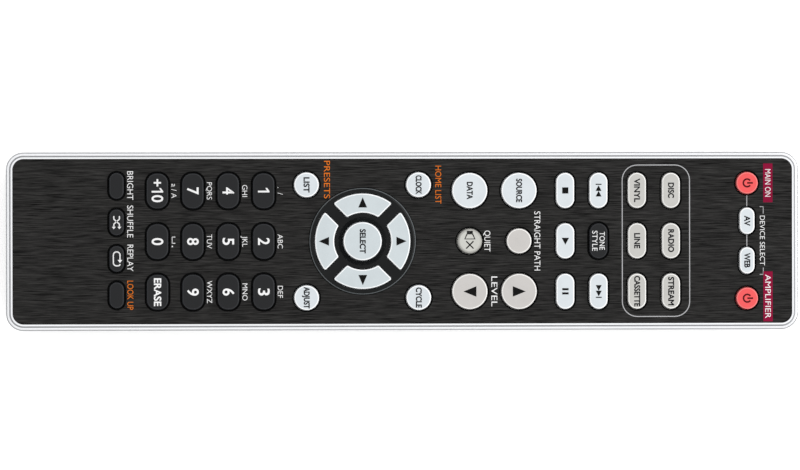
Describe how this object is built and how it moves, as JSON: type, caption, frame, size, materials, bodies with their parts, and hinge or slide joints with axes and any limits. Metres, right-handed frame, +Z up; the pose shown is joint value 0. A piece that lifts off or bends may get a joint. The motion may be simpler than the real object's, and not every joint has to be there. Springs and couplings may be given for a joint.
{
  "type": "infrared remote control handset",
  "caption": "Slim black and silver hi-fi remote control handset with a brushed face plate, sprung keys, a cursor ring and a battery cover underneath.",
  "frame": {"origin": "under the middle of the handset, on the surface that it lies on", "axes": "+Y towards the infrared end, +X to the right of the user, +Z up through the keys"},
  "size_m": [0.0512, 0.228, 0.022],
  "materials": {
    "black_shell": "fine-textured black ABS",
    "silver_shell": "silver-painted ABS",
    "black_plate": "black anodised, brushed along the handset",
    "gloss_black": "polished black ABS",
    "light_key": "satin pale grey",
    "source_key": "satin mid grey",
    "warm_key": "satin warm grey",
    "dark_key": "satin charcoal",
    "power_key": "satin red",
    "silicone": "moulded silicone",
    "board": "green solder resist",
    "component_black": "moulded packages",
    "emitter": "clear blue epoxy",
    "window": "infrared-transparent dark red",
    "cell_jacket": "printed jacket, plain",
    "contact_metal": "nickel-plated spring steel",
    "screw_metal": "blackened steel"
  },
  "bodies": {
    "handset": {"battery_cells": "cell_jacket", "battery_contacts": "contact_metal", "board_components": "component_black", "case_screws": "screw_metal", "circuit_board": "board", "cursor_bezel": "gloss_black", "face_plate": "black_plate", "infrared_led": "emitter", "infrared_window": "window", "keypad_membrane": "silicone", "rear_case": "black_shell", "upper_case": "silver_shell"},
    "battery_cover": {"battery_cover": "black_shell"},
    "key_0": {"key_0": "dark_key"},
    "key_1": {"key_1": "dark_key"},
    "key_2": {"key_2": "dark_key"},
    "key_3": {"key_3": "dark_key"},
    "key_4": {"key_4": "dark_key"},
    "key_5": {"key_5": "dark_key"},
    "key_6": {"key_6": "dark_key"},
    "key_7": {"key_7": "dark_key"},
    "key_8": {"key_8": "dark_key"},
    "key_9": {"key_9": "dark_key"},
    "key_amplifier_power": {"key_amplifier_power": "power_key"},
    "key_auxiliary": {"key_auxiliary": "source_key"},
    "key_clear": {"key_clear": "dark_key"},
    "key_dimmer": {"key_dimmer": "dark_key"},
    "key_direct": {"key_direct": "warm_key"},
    "key_disc": {"key_disc": "source_key"},
    "key_down": {"key_down": "light_key"},
    "key_enter": {"key_enter": "light_key"},
    "key_info": {"key_info": "light_key"},
    "key_input": {"key_input": "light_key"},
    "key_left": {"key_left": "light_key"},
    "key_mode_disc": {"key_mode_disc": "light_key"},
    "key_mode_network": {"key_mode_network": "light_key"},
    "key_mute": {"key_mute": "warm_key"},
    "key_network": {"key_network": "source_key"},
    "key_pause": {"key_pause": "light_key"},
    "key_phono": {"key_phono": "source_key"},
    "key_play": {"key_play": "light_key"},
    "key_play_mode": {"key_play_mode": "light_key"},
    "key_plus_10": {"key_plus_10": "dark_key"},
    "key_power": {"key_power": "power_key"},
    "key_program": {"key_program": "light_key"},
    "key_random": {"key_random": "dark_key"},
    "key_recorder": {"key_recorder": "source_key"},
    "key_repeat": {"key_repeat": "dark_key"},
    "key_right": {"key_right": "light_key"},
    "key_search": {"key_search": "dark_key"},
    "key_setup": {"key_setup": "light_key"},
    "key_skip_back": {"key_skip_back": "light_key"},
    "key_skip_forward": {"key_skip_forward": "light_key"},
    "key_sound": {"key_sound": "dark_key"},
    "key_stop": {"key_stop": "light_key"},
    "key_time": {"key_time": "light_key"},
    "key_tuner": {"key_tuner": "source_key"},
    "key_up": {"key_up": "light_key"},
    "key_volume_down": {"key_volume_down": "warm_key"},
    "key_volume_up": {"key_volume_up": "warm_key"}
  },
  "joints": [
    {"name": "battery_cover_opens", "type": "hinge", "parent": "handset", "child": "battery_cover", "pos_m": [0, -0.0376, 0.00015], "axis": [1, 0, 0], "range_deg": [0, 60]},
    {"name": "key_0_press", "type": "slide", "parent": "handset", "child": "key_0", "axis": [0, 0, -1], "range_m": [0, 0.001], "stiffness_N_per_m": 1200, "deforming": ["keypad_membrane"]},
    {"name": "key_1_press", "type": "slide", "parent": "handset", "child": "key_1", "axis": [0, 0, -1], "range_m": [0, 0.001], "stiffness_N_per_m": 1200, "deforming": ["keypad_membrane"]},
    {"name": "key_2_press", "type": "slide", "parent": "handset", "child": "key_2", "axis": [0, 0, -1], "range_m": [0, 0.001], "stiffness_N_per_m": 1200, "deforming": ["keypad_membrane"]},
    {"name": "key_3_press", "type": "slide", "parent": "handset", "child": "key_3", "axis": [0, 0, -1], "range_m": [0, 0.001], "stiffness_N_per_m": 1200, "deforming": ["keypad_membrane"]},
    {"name": "key_4_press", "type": "slide", "parent": "handset", "child": "key_4", "axis": [0, 0, -1], "range_m": [0, 0.001], "stiffness_N_per_m": 1200, "deforming": ["keypad_membrane"]},
    {"name": "key_5_press", "type": "slide", "parent": "handset", "child": "key_5", "axis": [0, 0, -1], "range_m": [0, 0.001], "stiffness_N_per_m": 1200, "deforming": ["keypad_membrane"]},
    {"name": "key_6_press", "type": "slide", "parent": "handset", "child": "key_6", "axis": [0, 0, -1], "range_m": [0, 0.001], "stiffness_N_per_m": 1200, "deforming": ["keypad_membrane"]},
    {"name": "key_7_press", "type": "slide", "parent": "handset", "child": "key_7", "axis": [0, 0, -1], "range_m": [0, 0.001], "stiffness_N_per_m": 1200, "deforming": ["keypad_membrane"]},
    {"name": "key_8_press", "type": "slide", "parent": "handset", "child": "key_8", "axis": [0, 0, -1], "range_m": [0, 0.001], "stiffness_N_per_m": 1200, "deforming": ["keypad_membrane"]},
    {"name": "key_9_press", "type": "slide", "parent": "handset", "child": "key_9", "axis": [0, 0, -1], "range_m": [0, 0.001], "stiffness_N_per_m": 1200, "deforming": ["keypad_membrane"]},
    {"name": "key_amplifier_power_press", "type": "slide", "parent": "handset", "child": "key_amplifier_power", "axis": [0, 0, -1], "range_m": [0, 0.001], "stiffness_N_per_m": 1200, "deforming": ["keypad_membrane"]},
    {"name": "key_auxiliary_press", "type": "slide", "parent": "handset", "child": "key_auxiliary", "axis": [0, 0, -1], "range_m": [0, 0.001], "stiffness_N_per_m": 1200, "deforming": ["keypad_membrane"]},
    {"name": "key_clear_press", "type": "slide", "parent": "handset", "child": "key_clear", "axis": [0, 0, -1], "range_m": [0, 0.001], "stiffness_N_per_m": 1200, "deforming": ["keypad_membrane"]},
    {"name": "key_dimmer_press", "type": "slide", "parent": "handset", "child": "key_dimmer", "axis": [0, 0, -1], "range_m": [0, 0.001], "stiffness_N_per_m": 1200, "deforming": ["keypad_membrane"]},
    {"name": "key_direct_press", "type": "slide", "parent": "handset", "child": "key_direct", "axis": [0, 0, -1], "range_m": [0, 0.001], "stiffness_N_per_m": 1200, "deforming": ["keypad_membrane"]},
    {"name": "key_disc_press", "type": "slide", "parent": "handset", "child": "key_disc", "axis": [0, 0, -1], "range_m": [0, 0.001], "stiffness_N_per_m": 1200, "deforming": ["keypad_membrane"]},
    {"name": "key_down_press", "type": "slide", "parent": "handset", "child": "key_down", "axis": [0, 0, -1], "range_m": [0, 0.001], "stiffness_N_per_m": 1200, "deforming": ["keypad_membrane"]},
    {"name": "key_enter_press", "type": "slide", "parent": "handset", "child": "key_enter", "axis": [0, 0, -1], "range_m": [0, 0.001], "stiffness_N_per_m": 1200, "deforming": ["keypad_membrane"]},
    {"name": "key_info_press", "type": "slide", "parent": "handset", "child": "key_info", "axis": [0, 0, -1], "range_m": [0, 0.001], "stiffness_N_per_m": 1200, "deforming": ["keypad_membrane"]},
    {"name": "key_input_press", "type": "slide", "parent": "handset", "child": "key_input", "axis": [0, 0, -1], "range_m": [0, 0.001], "stiffness_N_per_m": 1200, "deforming": ["keypad_membrane"]},
    {"name": "key_left_press", "type": "slide", "parent": "handset", "child": "key_left", "axis": [0, 0, -1], "range_m": [0, 0.001], "stiffness_N_per_m": 1200, "deforming": ["keypad_membrane"]},
    {"name": "key_mode_disc_press", "type": "slide", "parent": "handset", "child": "key_mode_disc", "axis": [0, 0, -1], "range_m": [0, 0.001], "stiffness_N_per_m": 1200, "deforming": ["keypad_membrane"]},
    {"name": "key_mode_network_press", "type": "slide", "parent": "handset", "child": "key_mode_network", "axis": [0, 0, -1], "range_m": [0, 0.001], "stiffness_N_per_m": 1200, "deforming": ["keypad_membrane"]},
    {"name": "key_mute_press", "type": "slide", "parent": "handset", "child": "key_mute", "axis": [0, 0, -1], "range_m": [0, 0.001], "stiffness_N_per_m": 1200, "deforming": ["keypad_membrane"]},
    {"name": "key_network_press", "type": "slide", "parent": "handset", "child": "key_network", "axis": [0, 0, -1], "range_m": [0, 0.001], "stiffness_N_per_m": 1200, "deforming": ["keypad_membrane"]},
    {"name": "key_pause_press", "type": "slide", "parent": "handset", "child": "key_pause", "axis": [0, 0, -1], "range_m": [0, 0.001], "stiffness_N_per_m": 1200, "deforming": ["keypad_membrane"]},
    {"name": "key_phono_press", "type": "slide", "parent": "handset", "child": "key_phono", "axis": [0, 0, -1], "range_m": [0, 0.001], "stiffness_N_per_m": 1200, "deforming": ["keypad_membrane"]},
    {"name": "key_play_press", "type": "slide", "parent": "handset", "child": "key_play", "axis": [0, 0, -1], "range_m": [0, 0.001], "stiffness_N_per_m": 1200, "deforming": ["keypad_membrane"]},
    {"name": "key_play_mode_press", "type": "slide", "parent": "handset", "child": "key_play_mode", "axis": [0, 0, -1], "range_m": [0, 0.001], "stiffness_N_per_m": 1200, "deforming": ["keypad_membrane"]},
    {"name": "key_plus_10_press", "type": "slide", "parent": "handset", "child": "key_plus_10", "axis": [0, 0, -1], "range_m": [0, 0.001], "stiffness_N_per_m": 1200, "deforming": ["keypad_membrane"]},
    {"name": "key_power_press", "type": "slide", "parent": "handset", "child": "key_power", "axis": [0, 0, -1], "range_m": [0, 0.001], "stiffness_N_per_m": 1200, "deforming": ["keypad_membrane"]},
    {"name": "key_program_press", "type": "slide", "parent": "handset", "child": "key_program", "axis": [0, 0, -1], "range_m": [0, 0.001], "stiffness_N_per_m": 1200, "deforming": ["keypad_membrane"]},
    {"name": "key_random_press", "type": "slide", "parent": "handset", "child": "key_random", "axis": [0, 0, -1], "range_m": [0, 0.001], "stiffness_N_per_m": 1200, "deforming": ["keypad_membrane"]},
    {"name": "key_recorder_press", "type": "slide", "parent": "handset", "child": "key_recorder", "axis": [0, 0, -1], "range_m": [0, 0.001], "stiffness_N_per_m": 1200, "deforming": ["keypad_membrane"]},
    {"name": "key_repeat_press", "type": "slide", "parent": "handset", "child": "key_repeat", "axis": [0, 0, -1], "range_m": [0, 0.001], "stiffness_N_per_m": 1200, "deforming": ["keypad_membrane"]},
    {"name": "key_right_press", "type": "slide", "parent": "handset", "child": "key_right", "axis": [0, 0, -1], "range_m": [0, 0.001], "stiffness_N_per_m": 1200, "deforming": ["keypad_membrane"]},
    {"name": "key_search_press", "type": "slide", "parent": "handset", "child": "key_search", "axis": [0, 0, -1], "range_m": [0, 0.001], "stiffness_N_per_m": 1200, "deforming": ["keypad_membrane"]},
    {"name": "key_setup_press", "type": "slide", "parent": "handset", "child": "key_setup", "axis": [0, 0, -1], "range_m": [0, 0.001], "stiffness_N_per_m": 1200, "deforming": ["keypad_membrane"]},
    {"name": "key_skip_back_press", "type": "slide", "parent": "handset", "child": "key_skip_back", "axis": [0, 0, -1], "range_m": [0, 0.001], "stiffness_N_per_m": 1200, "deforming": ["keypad_membrane"]},
    {"name": "key_skip_forward_press", "type": "slide", "parent": "handset", "child": "key_skip_forward", "axis": [0, 0, -1], "range_m": [0, 0.001], "stiffness_N_per_m": 1200, "deforming": ["keypad_membrane"]},
    {"name": "key_sound_press", "type": "slide", "parent": "handset", "child": "key_sound", "axis": [0, 0, -1], "range_m": [0, 0.001], "stiffness_N_per_m": 1200, "deforming": ["keypad_membrane"]},
    {"name": "key_stop_press", "type": "slide", "parent": "handset", "child": "key_stop", "axis": [0, 0, -1], "range_m": [0, 0.001], "stiffness_N_per_m": 1200, "deforming": ["keypad_membrane"]},
    {"name": "key_time_press", "type": "slide", "parent": "handset", "child": "key_time", "axis": [0, 0, -1], "range_m": [0, 0.001], "stiffness_N_per_m": 1200, "deforming": ["keypad_membrane"]},
    {"name": "key_tuner_press", "type": "slide", "parent": "handset", "child": "key_tuner", "axis": [0, 0, -1], "range_m": [0, 0.001], "stiffness_N_per_m": 1200, "deforming": ["keypad_membrane"]},
    {"name": "key_up_press", "type": "slide", "parent": "handset", "child": "key_up", "axis": [0, 0, -1], "range_m": [0, 0.001], "stiffness_N_per_m": 1200, "deforming": ["keypad_membrane"]},
    {"name": "key_volume_down_press", "type": "slide", "parent": "handset", "child": "key_volume_down", "axis": [0, 0, -1], "range_m": [0, 0.001], "stiffness_N_per_m": 1200, "deforming": ["keypad_membrane"]},
    {"name": "key_volume_up_press", "type": "slide", "parent": "handset", "child": "key_volume_up", "axis": [0, 0, -1], "range_m": [0, 0.001], "stiffness_N_per_m": 1200, "deforming": ["keypad_membrane"]}
  ]
}
